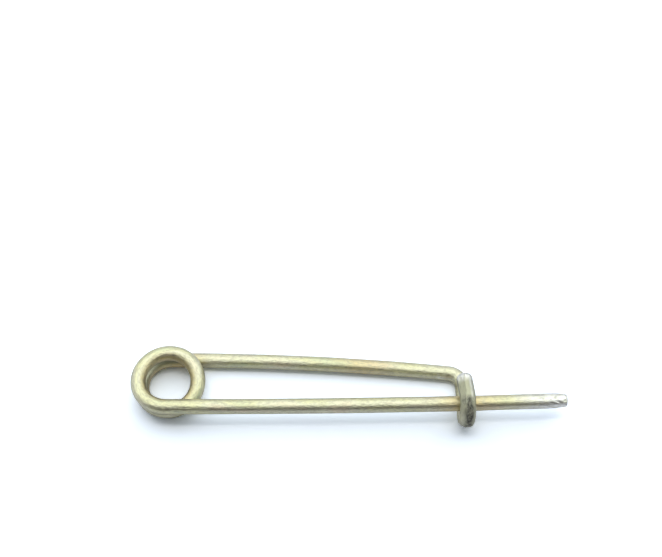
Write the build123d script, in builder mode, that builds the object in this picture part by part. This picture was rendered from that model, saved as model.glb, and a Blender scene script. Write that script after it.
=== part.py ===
from build123d import *
import os
from math import radians, sin

os.makedirs("parts", exist_ok=True)

# A closed safety pin for locking a shaft, hitch or lynch hole, bent cold from one length of spring wire.
# From the tip the wire runs along the straight leg, winds one and a half turns of coil, comes back as the arm,
# turns an elbow, crosses under the leg, hooks round it and ends on top.
# It lies flat: the arm, the elbow, the crossing and the last half turn touch the ground, the leg is one wire higher.

# Wire
wire_dia = 2.5
wire_gap = 0.12

# Coil, whose lower turn is tucked in under the leg
coil_inner_dia = 7.3
coil_tuck = 0.4

# Leg, measured from the coil's centre out to the tip, bowed by its own spring and set where it bears on the hook
leg_length = 66.0
leg_bow_deg = 1.5
leg_set_deg = 0.5
leg_set_length = 2.3

# Bare tip of the leg
tip_taper_length = 2.2
tip_end_dia = 2.1
tip_edge_round = 0.35

# Arm, from the coil out to its elbow
arm_length = 47.2
arm_bow_deg = 5.9
elbow_inner_radius = 1.25

# Hook round the leg
hook_play = 0.2
hook_lean_deg = 6.0
hook_lean_radius = 5.0
hook_end_reach = 4.05
hook_edge_round = 0.9

# Derived sizes
coil_mean_dia = coil_inner_dia + wire_dia
level_step = wire_dia + wire_gap
lower_level = wire_dia / 2
upper_level = lower_level + level_step
elbow_radius = elbow_inner_radius + wire_dia / 2
elbow_deg = 90 - arm_bow_deg
arm_bow_radius = arm_length / radians(arm_bow_deg)
leg_set_radius = leg_set_length / radians(leg_set_deg)
hook_lean_length = hook_lean_radius * radians(hook_lean_deg)

coil_front_upper = Vector(0, 0, upper_level)
coil_back_upper = Vector(0, coil_mean_dia, upper_level)
coil_front_lower = Vector(0, coil_tuck, lower_level)
coil_back_lower = Vector(0, coil_mean_dia, lower_level)

with BuildLine() as route:
    # Coil: a level half turn, one that drops by a wire, and one on the ground
    upper_turn = TangentArc(coil_front_upper, coil_back_upper, tangent=(-1, 0, 0))
    falling_turn = TangentArc(coil_back_upper, coil_front_lower, tangent=(1, 0, 0))
    lower_turn = TangentArc(coil_front_lower, coil_back_lower, tangent=(-1, 0, 0))

    # Arm, bowed by its own spring, and the elbow toward the leg
    arm = JernArc(coil_back_lower, (1, 0, 0), arm_bow_radius, -arm_bow_deg)
    elbow = JernArc(arm @ 1, arm % 1, elbow_radius, -elbow_deg)
    hook_station = (elbow @ 1).X

    # Leg, from the coil out past the hook, where it is set a little further
    leg_bow_radius = hook_station / sin(radians(leg_bow_deg))
    leg = JernArc(coil_front_upper, (1, 0, 0), leg_bow_radius, leg_bow_deg)
    leg_set = JernArc(leg @ 1, leg % 1, leg_set_radius, leg_set_deg)
    tip_length = leg_length - leg.length - leg_set_length - tip_taper_length
    tip = Line(leg_set @ 1, leg_set @ 1 + (leg_set % 1) * tip_length)

    # Crossing under the leg, on to where the hook starts to rise
    crossing_end = Vector(hook_station, (leg @ 1).Y - hook_play, lower_level)
    crossing = Line(elbow @ 1, crossing_end)

    # Hook up and over the leg, leaning back a little to its cut end
    hook_top = crossing_end + (0, 0, 2 * level_step)
    hook_bend = TangentArc(crossing_end, hook_top, tangent=(0, -1, 0))
    hook_lean = JernArc(hook_top, (0, 1, 0), hook_lean_radius, hook_lean_deg)
    hook_end_length = hook_play + hook_end_reach - hook_lean_length
    hook_end = Line(hook_lean @ 1, hook_lean @ 1 + (hook_lean % 1) * hook_end_length)

with BuildPart() as wire:
    with BuildSketch(Plane(origin=tip @ 1, z_dir=tip % 0)):
        Circle(wire_dia / 2)
    sweep(path=route.wires()[0])

    # The hook's cut end is rounded over
    cut_end = wire.faces().filter_by(GeomType.PLANE).sort_by(Axis.Z)[-1]
    fillet(cut_end.edges(), hook_edge_round)

    # The tip tapers to a small blunt end, so that it finds its hole
    with Locations(Plane(origin=tip @ 1, z_dir=tip % 1)):
        Cone(
            bottom_radius=wire_dia / 2,
            top_radius=tip_end_dia / 2,
            height=tip_taper_length,
            align=(Align.CENTER, Align.CENTER, Align.MIN),
        )
    tip_end = wire.faces().filter_by(GeomType.PLANE).sort_by(Axis.X)[-1]
    fillet(tip_end.edges(), tip_edge_round)

# The origin lies on the ground, under the middle of the pin
footprint_centre = wire.part.bounding_box().center()
with BuildPart() as spring_wire:
    with Locations((-footprint_centre.X, -footprint_centre.Y, 0)):
        add(wire.part)

spring_wire.part.label = "spring_wire"
export_step(spring_wire.part, "parts/spring_wire.step")
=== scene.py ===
from collections import namedtuple
from math import acos, atan2, cos, exp, pi, radians, sin, sqrt, tau

import bpy
from mathutils import Matrix, Vector, noise


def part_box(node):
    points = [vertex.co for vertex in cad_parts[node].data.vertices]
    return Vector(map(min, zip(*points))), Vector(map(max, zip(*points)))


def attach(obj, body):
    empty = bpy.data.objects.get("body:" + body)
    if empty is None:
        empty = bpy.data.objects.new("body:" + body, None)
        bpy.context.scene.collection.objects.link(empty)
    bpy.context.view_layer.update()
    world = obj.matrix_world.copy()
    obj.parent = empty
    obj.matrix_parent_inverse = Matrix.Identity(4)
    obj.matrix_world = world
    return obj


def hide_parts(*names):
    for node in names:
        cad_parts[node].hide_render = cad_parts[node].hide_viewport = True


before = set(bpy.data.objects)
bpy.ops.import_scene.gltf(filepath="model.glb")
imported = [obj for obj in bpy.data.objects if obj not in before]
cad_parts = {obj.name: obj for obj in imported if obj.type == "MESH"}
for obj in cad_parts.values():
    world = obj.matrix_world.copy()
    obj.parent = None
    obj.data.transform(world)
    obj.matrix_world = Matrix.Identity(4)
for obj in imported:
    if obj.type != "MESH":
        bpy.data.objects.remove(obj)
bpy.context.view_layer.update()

MM = 0.001
UP = Vector((0, 0, 1))

# Wire, with the sizes of the solid that the fine mesh stands for
wire_radius = 1.25 * MM
level_step = 2.62 * MM
coil_mean_dia = 9.8 * MM
coil_tuck = 0.4 * MM
leg_length = 66.0 * MM
leg_bow_deg = 1.5
leg_set_deg = 0.5
leg_set_length = 2.3 * MM
arm_length = 47.2 * MM
arm_bow_deg = 5.9
elbow_radius = 2.5 * MM
hook_play = 0.2 * MM
hook_lean_deg = 6.0
hook_lean_radius = 5.0 * MM
hook_end_reach = 4.05 * MM

# Ends of the wire, with the rings on their faces as shares of the radius
tip_taper_length = 2.2 * MM
tip_end_radius = 1.05 * MM
tip_edge_round = 0.35 * MM
hook_edge_round = 0.9 * MM
face_rings = (0.35, 0.7)

# Fineness of the mesh
ring_corners = 64
ring_step = 0.2 * MM
end_step = 0.06 * MM
end_zone = 1.0 * MM

# The marks on the hook are placed by their distance from its cut end, and by their lean from straight up,
# which is positive where they lean away from the coil.

# Flat the bending tool pressed on the strand over the leg, which is wider for it; that strand is darker
flat_depth = 0.14 * MM
flat_edge = 0.04 * MM
flat_fade = 3 * MM
flat_lean_deg = -38
flat_widening = 0.06
dull_reach = 7.2 * MM
dull_fade = 2.5 * MM
dull_half_deg = 135
dull_edge_deg = 12

# Groove that the tool scored down the outside of the bend
groove_depth = 0.24 * MM
groove_lean_deg = 9
groove_half_deg = 23
groove_start = 3.1 * MM
groove_reach = 8.8 * MM
groove_fade_in = 1.8 * MM
groove_fade_out = 2 * MM
# Width of the scored strip, which is rougher and painted near-black as shade and dark reflection
score_half_deg = 34
score_power = 0.5

# Worn patch where the groove begins, rougher, and painted near-black as shade and dark reflection
worn_middle = 4.8 * MM
worn_half_length = 1.3 * MM
worn_half_deg = 60
worn_strength = 0.78

# Painted highlight along the ridge beside the flat, in the bare metal's colour
ridge_lean_deg = 33
ridge_half_deg = 10
ridge_full_reach = 3.4 * MM
ridge_reach = 5 * MM
ridge_highlight_strength = 0.7

# Facet sheared off the cut end
shear_depth = 0.12 * MM
shear_tilt_deg = 66
shear_zone = 2 * MM

# Nicks near the elbow, in mm: distance before it, degrees round the wire from its top, length and depth
nicks = ((1.75, 45, 0.20, 0.05), (1.5, 76, 0.35, 0.10), (0.9, 80, 0.25, 0.08))
nick_half_width = 0.20 * MM

# Unevenness, in mm: length along the wire, width across it and depth, and a shift that sets each apart
hollows = (8, 1.1, 0.024, Vector((0, 0, 0)))
dents = (1.3, 0.7, 0.010, Vector((7, 3, 5)))
ragged_cut = (0.6, 0.4, 0.16, Vector((2, 9, 4)))
ragged_limit = 0.1 * MM
ragged_full_reach = 0.3 * MM
ragged_reach = 4.5 * MM

# Bare metal at the wire's two ends
bare_tip_full_reach = 1.5 * MM
bare_tip_reach = 11 * MM
bare_hook_full_reach = 0.8 * MM
bare_hook_reach = 2.0 * MM
bare_hook_strength = 0.9

# Rose film: on the leg beside the hook, measured from the tip, and twice on the arm, measured from the coil
leg_rose_middle = 16.6 * MM
leg_rose_half_length = 4.2 * MM
near_rose_middle = 1.5 * MM
near_rose_half_length = 3.5 * MM
far_rose_middle = 33 * MM
far_rose_half_length = 4.5 * MM
far_rose_strength = 0.7

# Painted shade on the coil's inner side, in the rose colour, by how far the surface faces the coil's axis
inner_shade_start = 0.1
inner_shade_full = 0.8
inner_shade_strength = 0.6

# Painted shade in the seam between the coil's turns, by how far the upper turn faces down and the lower turn
# up
seam_fade_in = 2 * MM
seam_fade_out = 4 * MM
seam_upper_facing = (0.0, 0.5)
seam_lower_facing = (0.3, 0.7)

# The painted shade in the coil's seam is counted in as dull.
# How scuffed a point is, as one value: dull up to the first, and scored from there to the second
fully_dull = 0.5
fully_scored = 0.9

# Colours of the metal and its film, the ramps as positions and colours, with its roughness and fine relief
film_tints = (
    (0.30, (0.55, 0.60, 0.40)),
    (0.44, (0.66, 0.65, 0.40)),
    (0.56, (0.66, 0.66, 0.48)),
    (0.70, (0.70, 0.62, 0.45)),
)
# Near-black colours of the scored metal, which are painted shade and dark reflection
scored_shade_tints = (
    (0.38, (0.10, 0.10, 0.085)),
    (0.50, (0.18, 0.18, 0.145)),
    (0.66, (0.38, 0.39, 0.31)),
)
# Rose film, also the colour of the painted shade inside the coil
rose_and_shade_tint = (0.62, 0.50, 0.26)
line_tint = (0.44, 0.41, 0.28)
# Dull colour, also used for the painted shade in the coil's seam
dull_and_shade_tint = (0.37, 0.375, 0.265)
speck_tint = (0.36, 0.34, 0.25)
# Bare metal, also the colour of the painted highlight on the hook's ridge
bare_and_highlight_tint = (0.78, 0.79, 0.74)
pit_tint = (0.30, 0.29, 0.25)
scored_roughness = 0.75
streak_relief = 0.025 * MM
grain_relief = 0.085 * MM

# Floor, in metres. Its colour for the camera stands for the photograph's overexposure.
floor_radius = 1.2
floor_corners = 96
floor_tint = (0.80, 0.79, 0.84)
floor_camera_tint = (1.30, 1.35, 1.41)

# World as the metal reflects it: dim in front and a bright ceiling behind, by how far back a direction points
ceiling_low_light = (0.70, 0.71, 0.71)
ceiling_high_light = (1.90, 1.97, 1.93)
front_light = (0.13, 0.12, 0.12)
front_end = -0.67
ceiling_start = -0.14

# World as it lights the floor: soft sky round a direction, by the cosine of the angle from it
sky_direction = Vector((0.0, 0.87, 0.50))
sky_rim_cosine = 0.35
sky_full_cosine = 0.65
sky_light = (1.60, 1.73, 1.90)
other_light = (0.22, 0.24, 0.26)
camera_white = (1.0, 1.0, 1.0)

# Lamp, in metres and watts
key_length = 0.97
key_width = 0.26
key_watts = 3.7
key_tint = (1.0, 0.98, 0.95)
key_direction = Vector((0.0, 0.09, 1.0))
key_distance = 1.5

# Camera, fitted to the pin's outline in the photograph
image_width = 662
focal_pixels = 1022.9
camera_distance = 185.0 * MM
camera_elevation_deg = 58.77
camera_turn_deg = 0.26
camera_roll_deg = -0.17
camera_target = Vector((-2.78, 23.15, 0)) * MM
camera_clip_start = 0.01

# A ring round the wire: its distance from the tip, its middle, the wire's heading and two directions across
Ring = namedtuple("Ring", "distance point heading side other")


def straight(start, heading, length):
    """A straight run: its length, and its point and heading at any distance."""
    return length, lambda distance: (start + heading * distance, heading)


def arc(start, heading, end):
    """The arc that leaves start along heading and reaches end."""
    chord = end - start
    half_turn = acos(chord.normalized().dot(heading))
    radius = chord.length / 2 / sin(half_turn)
    inward = (chord - heading * chord.dot(heading)).normalized()

    def place(distance):
        angle = distance / radius
        point = start + (heading * sin(angle) + inward * (1 - cos(angle))) * radius
        return point, heading * cos(angle) + inward * sin(angle)

    return 2 * half_turn * radius, place


def turn(start, heading, radius, degrees):
    """A level arc, to the left where degrees is positive."""
    side = UP.cross(heading) * (1 if degrees > 0 else -1)
    angle = radians(abs(degrees))
    return arc(start, heading, start + (heading * sin(angle) + side * (1 - cos(angle))) * radius)


def backward(run):
    """The same run, travelled from its end to its start."""
    length, place = run

    def place_back(distance):
        point, heading = place(length - distance)
        return point, -heading

    return length, place_back


def end_of(run):
    """The point and heading at a run's end."""
    length, place = run
    return place(length)


def wire_runs():
    """The wire's centreline from the tip to the hook's cut end, as runs in order."""
    low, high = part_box("spring_wire")
    lower_level = low.z + wire_radius
    upper_level = lower_level + level_step
    coil_x = low.x + coil_mean_dia / 2 + wire_radius
    coil_back_y = high.y - wire_radius
    coil_front_y = coil_back_y - coil_mean_dia
    front_upper = Vector((coil_x, coil_front_y, upper_level))
    back_upper = Vector((coil_x, coil_back_y, upper_level))
    front_lower = Vector((coil_x, coil_front_y + coil_tuck, lower_level))
    back_lower = Vector((coil_x, coil_back_y, lower_level))
    away, toward = Vector((1, 0, 0)), Vector((-1, 0, 0))

    upper_turn = arc(front_upper, toward, back_upper)
    falling_turn = arc(back_upper, away, front_lower)
    lower_turn = arc(front_lower, toward, back_lower)
    arm = turn(back_lower, away, arm_length / radians(arm_bow_deg), -arm_bow_deg)
    elbow = turn(*end_of(arm), elbow_radius, -(90 - arm_bow_deg))
    elbow_end, across = end_of(elbow)

    station = elbow_end.x - coil_x
    leg = turn(front_upper, away, station / sin(radians(leg_bow_deg)), leg_bow_deg)
    leg_set = turn(*end_of(leg), leg_set_length / radians(leg_set_deg), leg_set_deg)
    tip = straight(*end_of(leg_set), leg_length - leg[0] - leg_set_length)

    crossing_length = elbow_end.y - end_of(leg)[0].y + hook_play
    crossing = straight(elbow_end, across, crossing_length)
    hook_start, _ = end_of(crossing)
    hook_bend = arc(hook_start, across, hook_start + UP * 2 * level_step)
    hook_top, _ = end_of(hook_bend)
    hook_lean = turn(hook_top, -across, hook_lean_radius, hook_lean_deg)
    hook_end = straight(*end_of(hook_lean), hook_play + hook_end_reach - hook_lean[0])

    to_coil = [backward(run) for run in (tip, leg_set, leg)]
    around = [upper_turn, falling_turn, lower_turn, arm, elbow, crossing]
    return to_coil + around + [hook_bend, hook_lean, hook_end]


def place_on(runs, distance):
    """The centreline's point and heading at a distance from the tip."""
    for length, place in runs:
        if distance <= length:
            return place(distance)
        distance -= length
    return end_of(runs[-1])


def ring_distances(total):
    """Where the rings stand along the wire: close together at its two ends."""
    fine = round(end_zone / end_step)
    coarse = round((total - 2 * end_zone) / ring_step)
    near_tip = [end_zone * i / fine for i in range(fine)]
    between = [end_zone + (total - 2 * end_zone) * i / coarse for i in range(coarse)]
    near_hook = [total - end_zone + end_zone * i / fine for i in range(fine + 1)]
    return near_tip + between + near_hook


def steady_rings(runs, distances):
    """Rings along the wire that don't twist from one to the next."""
    rings = []
    side = UP
    last_heading = None
    for distance in distances:
        point, heading = place_on(runs, distance)
        if last_heading is not None:
            side = last_heading.rotation_difference(heading) @ side
        side = (side - heading * side.dot(heading)).normalized()
        rings.append(Ring(distance, point, heading, side, heading.cross(side)))
        last_heading = heading
    return rings


def leaning(degrees):
    """Straight up, but leaning away from the coil where degrees is positive."""
    return UP * cos(radians(degrees)) + Vector((1, 0, 0)) * sin(radians(degrees))


class Wire:
    """The wire in rings, with the distances and angles that its marks and tints go by."""

    def __init__(self):
        runs = wire_runs()
        lengths = [length for length, _ in runs]
        self.total = sum(lengths)
        self.hook_from = self.total - sum(lengths[-3:])
        self.elbow_from = self.total - sum(lengths[-5:])
        self.coil_from = sum(lengths[:3])
        self.coil_to = self.coil_from + sum(lengths[3:6])
        self.half_turn = lengths[3]
        coil_start, _ = place_on(runs, self.coil_from)
        self.coil_axis = coil_start + Vector((0, coil_mean_dia / 2, 0))
        self.rings = steady_rings(runs, ring_distances(self.total))

        self.top_angle = self.hook_angle(UP)
        self.flat_angle = self.hook_angle(leaning(flat_lean_deg))
        self.groove_angle = self.hook_angle(leaning(groove_lean_deg))
        self.ridge_angle = self.hook_angle(leaning(ridge_lean_deg))

        end = self.rings[-1]
        tilt = radians(shear_tilt_deg)
        self.shear_normal = (end.heading * cos(tilt) + leaning(flat_lean_deg) * sin(tilt)).normalized()
        self.shear_centre = end.point - end.heading * hook_edge_round
        self.shear_reach = hook_edge_round + (wire_radius - hook_edge_round) * sin(tilt) - shear_depth

    def hook_angle(self, facing):
        """The angle on the hook's last ring that faces a direction."""
        end = self.rings[-1]
        return atan2(facing.dot(end.other), facing.dot(end.side))


def edge_round(distance, radius):
    """How far a rounded edge draws the surface in, at a distance from the end face."""
    if distance >= radius:
        return 0
    return radius - sqrt(radius ** 2 - (radius - distance) ** 2)


def plain_radius(distance, total):
    """The wire's radius, with its tapered tip and the rounded edge at its other end."""
    taper = min(1, distance / tip_taper_length)
    radius = tip_end_radius + (wire_radius - tip_end_radius) * taper
    radius -= edge_round(distance, tip_edge_round)
    return radius - edge_round(total - distance, hook_edge_round)


def soft_min(a, b, softness):
    """The lesser of two lengths, with the corner between them eased."""
    blend = max(softness - abs(a - b), 0) / softness
    return min(a, b) - blend * blend * softness / 4


def ramp(value, start, end):
    """0 before start, 1 after end, smooth between."""
    share = min(1, max(0, (value - start) / (end - start)))
    return share * share * (3 - 2 * share)


def bell(share):
    """1 at the middle, falling smoothly to nothing about twice as far out as the share's unit."""
    return exp(-share * share)


def stretch_share(distance, start, end, fade_in, fade_out):
    """1 along a stretch of the wire, rising after its start and falling after its end."""
    return ramp(distance, start, start + fade_in) * (1 - ramp(distance, end, end + fade_out))


def angle_between(first, second):
    """How far apart two angles are, either way round."""
    return abs((first - second + pi) % tau - pi)


def groove_share(wire, distance):
    """1 along the groove down the outside of the hook's bend."""
    from_end = wire.total - distance
    return stretch_share(from_end, groove_start, groove_reach, groove_fade_in, groove_fade_out)


def pressed_radius(wire, distance, angle):
    """The wire's radius with the flat and the groove that the bending tool left on the hook."""
    flat = ramp(distance, wire.hook_from, wire.hook_from + flat_fade)
    radius = plain_radius(distance, wire.total)
    radius *= 1 + flat_widening * flat * sin(angle - wire.top_angle) ** 2
    facing = cos(angle - wire.flat_angle)
    if facing > 0 and distance > wire.hook_from:
        radius = soft_min(radius, (wire_radius - flat_depth * flat) / facing, flat_edge)
    groove = groove_depth * groove_share(wire, distance)
    from_groove = angle_between(angle, wire.groove_angle)
    return radius - groove * bell(from_groove / radians(groove_half_deg))


def nicked_radius(wire, distance, out, radius):
    """The radius with the nicks cut in, and how far the point lies in one of them."""
    nicked = 0
    for before, degrees, length, depth in nicks:
        along = (distance - wire.elbow_from + before * MM) / (length * MM)
        across = angle_between(atan2(-out.y, out.z), radians(degrees)) * radius / nick_half_width
        mark = bell(along) * bell(across)
        radius -= depth * MM * mark
        nicked = max(nicked, mark)
    return radius, nicked


def grained(spot, length, width, depth, shift):
    """Relief of a depth, with grains of a length along the wire and a width across it, all in mm."""
    scaled = Vector((spot.x / length, spot.y / width, spot.z / width)) / MM
    return noise.noise(scaled + shift) * depth * MM


def unevenness(spot, distance):
    """Long hollows and small dents from drawing and bending the wire, and the ragged cut at the tip."""
    ragged = grained(spot, *ragged_cut)
    ragged *= 1 - ramp(distance, ragged_full_reach, ragged_reach)
    return grained(spot, *hollows) + grained(spot, *dents) + max(-ragged_limit, min(0, ragged))


def past_shear(wire, distance, place):
    """How far a point stands out past the sheared facet on the hook's cut end."""
    if distance <= wire.total - shear_zone:
        return 0
    return max(0, (place - wire.shear_centre).dot(wire.shear_normal) - wire.shear_reach)


def end_bareness(wire, distance):
    """1 where the plating is gone or never took at the wire's two ends."""
    tip = 1 - ramp(distance, bare_tip_full_reach, bare_tip_reach)
    hook = ramp(distance, wire.total - bare_hook_reach, wire.total - bare_hook_full_reach)
    return max(tip, bare_hook_strength * hook)


def ridge_highlight_share(wire, distance, angle):
    """1 along the ridge beside the flat, where a highlight is painted."""
    along = 1 - ramp(wire.total - distance, ridge_full_reach, ridge_reach)
    return along * bell(angle_between(angle, wire.ridge_angle) / radians(ridge_half_deg))


def film_rosiness(wire, distance):
    """1 where the yellow film turned rose along the leg and the arm."""
    beside_hook = bell((distance - leg_rose_middle) / leg_rose_half_length)
    after_coil = bell((distance - wire.coil_to - near_rose_middle) / near_rose_half_length)
    on_arm = bell((distance - wire.coil_to - far_rose_middle) / far_rose_half_length)
    return max(beside_hook, after_coil, far_rose_strength * on_arm)


def inner_painted_shade(wire, ring, out):
    """Above 0 on the coil's inner side, where shade is painted in the rose colour."""
    if not wire.coil_from < ring.distance < wire.coil_to:
        return 0
    inward = (wire.coil_axis - ring.point).normalized().dot(out)
    return inner_shade_strength * ramp(inward, inner_shade_start, inner_shade_full)


def dull_share(wire, distance, angle):
    """1 where the strand over the leg is coloured darker."""
    along = 1 - ramp(wire.total - distance, dull_reach - dull_fade, dull_reach)
    from_flat = angle_between(angle, wire.flat_angle)
    return along * (1 - ramp(from_flat, radians(dull_half_deg - dull_edge_deg), radians(dull_half_deg)))


def scored_and_shaded_share(wire, distance, angle):
    """1 where the metal is scored, and painted near-black as shade: in the groove and the worn patch where it
    begins.
    """
    from_groove = angle_between(angle, wire.groove_angle)
    scored = groove_share(wire, distance) * bell(from_groove / radians(score_half_deg)) ** score_power
    from_flat = angle_between(angle, wire.flat_angle)
    worn_along = bell((wire.total - distance - worn_middle) / worn_half_length)
    worn = worn_along * bell(from_flat / radians(worn_half_deg))
    return max(scored, worn_strength * worn)


def seam_shade_share(wire, distance, out):
    """1 deep in the seam between the coil's two turns, where shade is painted in the dull colour."""
    upper_end = wire.coil_from + wire.half_turn
    upper = stretch_share(distance, wire.coil_from, upper_end, seam_fade_in, seam_fade_out)
    lower_start = wire.coil_to - wire.half_turn
    lower = stretch_share(distance, lower_start, wire.coil_to, seam_fade_in, seam_fade_out)
    return upper * ramp(-out.z, *seam_upper_facing) + lower * ramp(out.z, *seam_lower_facing)


def finish_and_light_at(wire, ring, angle, out, nicked, sheared):
    """How bare, how rose and how scuffed a point of a ring is, with the painted highlight and shade counted
    in.
    """
    distance = ring.distance
    # Painted highlight on the ridge, drawn as bare metal
    painted_ridge_highlight = ridge_highlight_strength * ridge_highlight_share(wire, distance, angle)
    bare = 1.0 if sheared else max(end_bareness(wire, distance), nicked, painted_ridge_highlight)
    # The rose share also carries the painted shade inside the coil
    rose = max(film_rosiness(wire, distance), inner_painted_shade(wire, ring, out))
    # The dull share also carries the painted shade in the coil's seam
    dull = max(fully_dull * dull_share(wire, distance, angle), fully_dull * seam_shade_share(wire, distance, out))
    return bare, rose, max(dull, scored_and_shaded_share(wire, distance, angle))


def ring_points(wire, ring, radius_share, corners=ring_corners):
    """A ring's points at a share of the radius, each with its place on the drawn wire and its finish."""
    points = []
    for corner in range(corners):
        angle = tau * corner / ring_corners
        out = ring.side * cos(angle) + ring.other * sin(angle)
        radius = pressed_radius(wire, ring.distance, angle)
        radius, nicked = nicked_radius(wire, ring.distance, out, radius)
        spot = Vector((ring.distance, radius * cos(angle), radius * sin(angle)))
        radius += unevenness(spot, ring.distance)
        place = ring.point + out * radius * radius_share
        past = past_shear(wire, ring.distance, place)
        place -= wire.shear_normal * past
        drawn_place = (spot.x, spot.y * radius_share, spot.z * radius_share)
        points.append((place, drawn_place, finish_and_light_at(wire, ring, angle, out, nicked, past > 0)))
    return points


def tube_faces(point_count):
    """Faces from ring to ring, and a fan round the point in the middle of each end face."""
    last = point_count - 1
    ring_starts = range(1, last, ring_corners)
    last_start = ring_starts[-1]
    faces = []
    for corner in range(ring_corners):
        following = (corner + 1) % ring_corners
        faces.append((0, 1 + corner, 1 + following))
        for start in ring_starts[:-1]:
            a = start + corner
            b = start + following
            faces.append((a, a + ring_corners, b + ring_corners, b))
        faces.append((last_start + corner, last, last_start + following))
    return faces


def add_layer(mesh, name, triples):
    """Stores three values for each point of a mesh."""
    layer = mesh.attributes.new(name, "FLOAT_VECTOR", "POINT")
    layer.data.foreach_set("vector", [value for triple in triples for value in triple])


def wire_mesh():
    """The wire as one closed mesh. Each point keeps its place on the straightened wire and its finish."""
    wire = Wire()
    first, last = wire.rings[0], wire.rings[-1]
    points = ring_points(wire, first, 0.0, corners=1)
    for share in face_rings:
        points += ring_points(wire, first, share)
    for ring in wire.rings:
        points += ring_points(wire, ring, 1.0)
    for share in reversed(face_rings):
        points += ring_points(wire, last, share)
    points += ring_points(wire, last, 0.0, corners=1)
    places, drawn_places, finishes = zip(*points)

    mesh = bpy.data.meshes.new("drawn_wire")
    mesh.from_pydata(places, [], tube_faces(len(places)))
    add_layer(mesh, "drawn_place", drawn_places)
    # The finish layer also holds the painted ridge highlight and the painted shade in the coil and the
    # groove.
    add_layer(mesh, "finish", finishes)
    mesh.polygons.foreach_set("use_smooth", [True] * len(mesh.polygons))
    return mesh


def add_node(tree, kind, **values):
    """A shader node with its settings and its unlinked inputs."""
    node = tree.nodes.new(kind)
    for name, value in values.items():
        if hasattr(node, name):
            setattr(node, name, value)
        else:
            node.inputs[name.replace("_", " ")].default_value = value
    return node


def split_vector(tree, source):
    """The three parts of a vector."""
    node = add_node(tree, "ShaderNodeSeparateXYZ")
    tree.links.new(source, node.inputs["Vector"])
    return node.outputs


def drawn_noise(tree, along, across, detail=2.0, roughness=0.5):
    """Noise on the straightened wire, with grains of the given length along it and width across it."""
    place = add_node(tree, "ShaderNodeAttribute", attribute_name="drawn_place")
    stretch = add_node(tree, "ShaderNodeMapping")
    stretch.inputs["Scale"].default_value = (1 / along, 1 / across, 1 / across)
    grain = add_node(tree, "ShaderNodeTexNoise", Scale=1.0, Detail=detail, Roughness=roughness)
    tree.links.new(place.outputs["Vector"], stretch.inputs["Vector"])
    tree.links.new(stretch.outputs["Vector"], grain.inputs["Vector"])
    return grain.outputs["Fac"]


def colour_ramp(tree, source, stops):
    """Colours along a value, from (position, colour) stops."""
    node = tree.nodes.new("ShaderNodeValToRGB")
    tree.links.new(source, node.inputs["Fac"])
    elements = node.color_ramp.elements
    while len(elements) < len(stops):
        elements.new(0.5)
    for element, (position, colour) in zip(elements, stops):
        element.position = position
        element.color = (*colour, 1)
    return node.outputs["Color"]


def mix_colour(tree, share, first, second):
    """Two colours mixed by a share that varies over the surface."""
    node = add_node(tree, "ShaderNodeMix", data_type="RGBA")
    tree.links.new(share, node.inputs["Factor"])
    first_socket, second_socket = [socket for socket in node.inputs if socket.type == "RGBA"]
    for colour, socket in ((first, first_socket), (second, second_socket)):
        if isinstance(colour, tuple):
            socket.default_value = (*colour, 1)
        else:
            tree.links.new(colour, socket)
    return next(socket for socket in node.outputs if socket.type == "RGBA")


def value_range(tree, source, low, high, start=0.3, end=0.7, smooth=False):
    """A value between start and end, spread from low to high."""
    node = add_node(tree, "ShaderNodeMapRange", interpolation_type="SMOOTHSTEP" if smooth else "LINEAR")
    node.inputs["From Min"].default_value = start
    node.inputs["From Max"].default_value = end
    node.inputs["To Min"].default_value = low
    node.inputs["To Max"].default_value = high
    tree.links.new(source, node.inputs["Value"])
    return node.outputs["Result"]


def smooth_range(tree, source, start, end):
    """A value turned into 0 before start, 1 after end, smooth between."""
    return value_range(tree, source, low=0.0, high=1.0, start=start, end=end, smooth=True)


def patched(tree, share, noise_value, low, high, start=0.3, end=0.7):
    """A share broken up by a noise, which is spread from low to high."""
    node = add_node(tree, "ShaderNodeMath", operation="MULTIPLY", use_clamp=True)
    tree.links.new(share, node.inputs[0])
    tree.links.new(value_range(tree, noise_value, low, high, start, end), node.inputs[1])
    return node.outputs["Value"]


def bump(tree, height, depth, before=None):
    """Relief of the given depth in metres, on top of any earlier relief."""
    node = add_node(tree, "ShaderNodeBump", Distance=depth)
    tree.links.new(height, node.inputs["Height"])
    if before is not None:
        tree.links.new(before, node.inputs["Normal"])
    return node.outputs["Normal"]


def film_colour(tree, rose, patchy, streak):
    """The film in straw, green and grey, rose in places, and darker along the lines that drawing left."""
    tint = drawn_noise(tree, along=7 * MM, across=1.6 * MM, detail=3)
    film = colour_ramp(tree, tint, film_tints)
    # The rose share also paints shade in the rose colour inside the coil.
    rosy_and_shaded = mix_colour(tree, patched(tree, rose, patchy, low=0.7, high=1.2), film, rose_and_shade_tint)
    return mix_colour(tree, value_range(tree, streak, low=0.0, high=0.30), rosy_and_shaded, line_tint)


def scuffed_and_shaded_colour(tree, scuffed, scored, film):
    """The film dulled, with the seam's painted shade, and near-black painted shade where scored, with small
    dark specks all over.
    """
    dulled = value_range(tree, scuffed, low=0.0, high=1.0, start=0.0, end=fully_dull)
    dull = mix_colour(tree, dulled, film, dull_and_shade_tint)
    spots = drawn_noise(tree, along=0.45 * MM, across=0.35 * MM, detail=2, roughness=0.7)
    scraped = mix_colour(tree, scored, dull, colour_ramp(tree, spots, scored_shade_tints))
    speckle = drawn_noise(tree, along=0.70 * MM, across=0.28 * MM, detail=2, roughness=0.7)
    specks = value_range(tree, speckle, low=0.0, high=0.6, start=0.44, end=0.68)
    return mix_colour(tree, specks, scraped, speck_tint)


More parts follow.
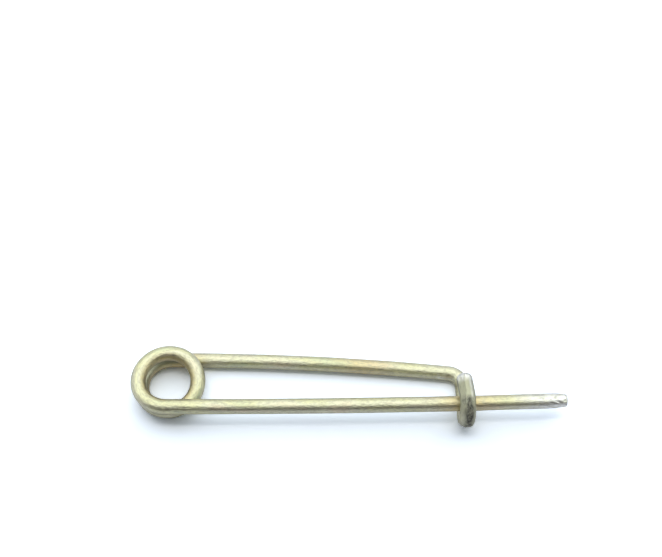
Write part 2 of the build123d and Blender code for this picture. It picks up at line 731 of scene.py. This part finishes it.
def bared_and_highlight_colour(tree, bare, patchy, covered):
    """Bright metal where it is bare and on the ridge's painted highlight, with darker pits in it."""
    clean = mix_colour(tree, patched(tree, bare, patchy, low=0.5, high=1.2), covered, bare_and_highlight_tint)
    scratch = drawn_noise(tree, along=1.3 * MM, across=0.30 * MM, detail=3, roughness=0.6)
    pits = patched(tree, bare, scratch, low=0.0, high=0.7, start=0.53, end=0.62)
    return mix_colour(tree, pits, clean, pit_tint)


def wire_roughness(tree, scored, grain):
    """Satin all along, and rougher where the metal is scored."""
    rough = add_node(tree, "ShaderNodeMix", data_type="FLOAT", B=scored_roughness)
    tree.links.new(scored, rough.inputs["Factor"])
    tree.links.new(value_range(tree, grain, low=0.28, high=0.44), rough.inputs["A"])
    return rough.outputs["Result"]


def plated_wire():
    """Spring wire under a thin film of yellow passivated zinc, with the marks of drawing and bending, a
    painted highlight and painted shade.
    """
    material = bpy.data.materials.new("plated_wire")
    material.use_nodes = True
    tree = material.node_tree
    shader = tree.nodes["Principled BSDF"]
    shader.inputs["Metallic"].default_value = 1.0

    # Bareness here includes the painted ridge highlight, rosiness the painted coil shade, and scuffing the
    # painted seam and groove shade.
    marks = add_node(tree, "ShaderNodeAttribute", attribute_name="finish")
    bare, rose, scuffed = split_vector(tree, marks.outputs["Vector"])
    patchy = drawn_noise(tree, along=0.9 * MM, across=0.5 * MM, detail=3)
    streak = drawn_noise(tree, along=3 * MM, across=0.18 * MM, detail=3, roughness=0.6)
    grain = drawn_noise(tree, along=0.75 * MM, across=0.27 * MM, detail=3, roughness=0.6)
    broken = patched(tree, scuffed, patchy, low=0.85, high=1.15)
    scored = value_range(tree, broken, low=0.0, high=1.0, start=fully_dull, end=fully_scored)

    film = film_colour(tree, rose, patchy, streak)
    colour = bared_and_highlight_colour(tree, bare, patchy, scuffed_and_shaded_colour(tree, scuffed, scored, film))
    relief = bump(tree, grain, grain_relief, before=bump(tree, streak, streak_relief))
    tree.links.new(colour, shader.inputs["Base Color"])
    tree.links.new(wire_roughness(tree, scored, grain), shader.inputs["Roughness"])
    tree.links.new(relief, shader.inputs["Normal"])
    return material


def make_pin():
    """The fine wire in place of the plain solid."""
    pin = bpy.data.objects.new("bent_wire", wire_mesh())
    bpy.context.scene.collection.objects.link(pin)
    pin.data.materials.append(plated_wire())
    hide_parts("spring_wire")
    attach(pin, "root")


def floor_paper():
    """Near-white paper, brighter to the camera, as the photograph is overexposed."""
    material = bpy.data.materials.new("floor")
    material.use_nodes = True
    tree = material.node_tree
    tree.nodes.clear()
    paper = add_node(tree, "ShaderNodeBsdfDiffuse")
    path = add_node(tree, "ShaderNodeLightPath")
    white = mix_colour(tree, path.outputs["Is Camera Ray"], floor_tint, floor_camera_tint)
    tree.links.new(white, paper.inputs["Color"])
    out = add_node(tree, "ShaderNodeOutputMaterial")
    tree.links.new(paper.outputs["BSDF"], out.inputs["Surface"])
    return material


def make_floor():
    """A plain near-white floor that keeps the pin's shadow."""
    angles = [tau * i / floor_corners for i in range(floor_corners)]
    rim = [(floor_radius * cos(angle), floor_radius * sin(angle), 0) for angle in angles]
    mesh = bpy.data.meshes.new("floor")
    mesh.from_pydata(rim, [], [tuple(range(floor_corners))])
    mesh.materials.append(floor_paper())
    floor = bpy.data.objects.new("floor", mesh)
    bpy.context.scene.collection.objects.link(floor)


def reflected_light(tree, direction):
    """The studio as the metal reflects it: a dim front and a bright ceiling."""
    _, backward_share, height = split_vector(tree, direction)
    ceiling = mix_colour(tree, height, ceiling_low_light, ceiling_high_light)
    behind = smooth_range(tree, backward_share, front_end, ceiling_start)
    return mix_colour(tree, behind, front_light, ceiling)


def diffuse_light(tree, direction):
    """Plain soft light from high behind, for everything that isn't a reflection."""
    toward = add_node(tree, "ShaderNodeVectorMath", operation="DOT_PRODUCT")
    toward.inputs[1].default_value = sky_direction
    tree.links.new(direction, toward.inputs[0])
    near = smooth_range(tree, toward.outputs["Value"], sky_rim_cosine, sky_full_cosine)
    return mix_colour(tree, near, other_light, sky_light)


def make_world():
    """White to the camera, the studio in reflections, and soft light from behind for the rest."""
    world = bpy.data.worlds.new("studio")
    world.use_nodes = True
    bpy.context.scene.world = world
    tree = world.node_tree
    tree.nodes.clear()
    direction = add_node(tree, "ShaderNodeTexCoord").outputs["Generated"]
    path = add_node(tree, "ShaderNodeLightPath")
    reflected = reflected_light(tree, direction)
    light = mix_colour(tree, path.outputs["Is Glossy Ray"], diffuse_light(tree, direction), reflected)
    shown = mix_colour(tree, path.outputs["Is Camera Ray"], light, camera_white)
    back = add_node(tree, "ShaderNodeBackground")
    tree.links.new(shown, back.inputs["Color"])
    out = add_node(tree, "ShaderNodeOutputWorld")
    tree.links.new(back.outputs["Background"], out.inputs["Surface"])


def make_key():
    """One long soft lamp nearly overhead, which doesn't show in the metal."""
    lamp = bpy.data.lights.new("key", "AREA")
    lamp.shape = "RECTANGLE"
    lamp.size = key_length
    lamp.size_y = key_width
    lamp.energy = key_watts
    lamp.color = key_tint
    key = bpy.data.objects.new("key", lamp)
    key.location = key_direction.normalized() * key_distance
    key.rotation_euler = (-atan2(key.location.y, key.location.z), 0, 0)
    key.visible_glossy = False
    bpy.context.scene.collection.objects.link(key)


def make_camera():
    """The photograph's view."""
    data = bpy.data.cameras.new("camera")
    data.lens = focal_pixels * data.sensor_width / image_width
    data.clip_start = camera_clip_start
    camera = bpy.data.objects.new("camera", data)
    aim = Matrix.Rotation(radians(camera_turn_deg), 3, "Z")
    aim = aim @ Matrix.Rotation(radians(90 - camera_elevation_deg), 3, "X")
    aim = aim @ Matrix.Rotation(radians(camera_roll_deg), 3, "Z")
    camera.rotation_mode = "QUATERNION"
    camera.rotation_quaternion = aim.to_quaternion()
    camera.location = camera_target + aim @ Vector((0, 0, camera_distance))
    bpy.context.scene.collection.objects.link(camera)
    bpy.context.scene.camera = camera


make_pin()
make_floor()
make_world()
make_key()
make_camera()
bpy.context.scene.view_settings.view_transform = "Standard"
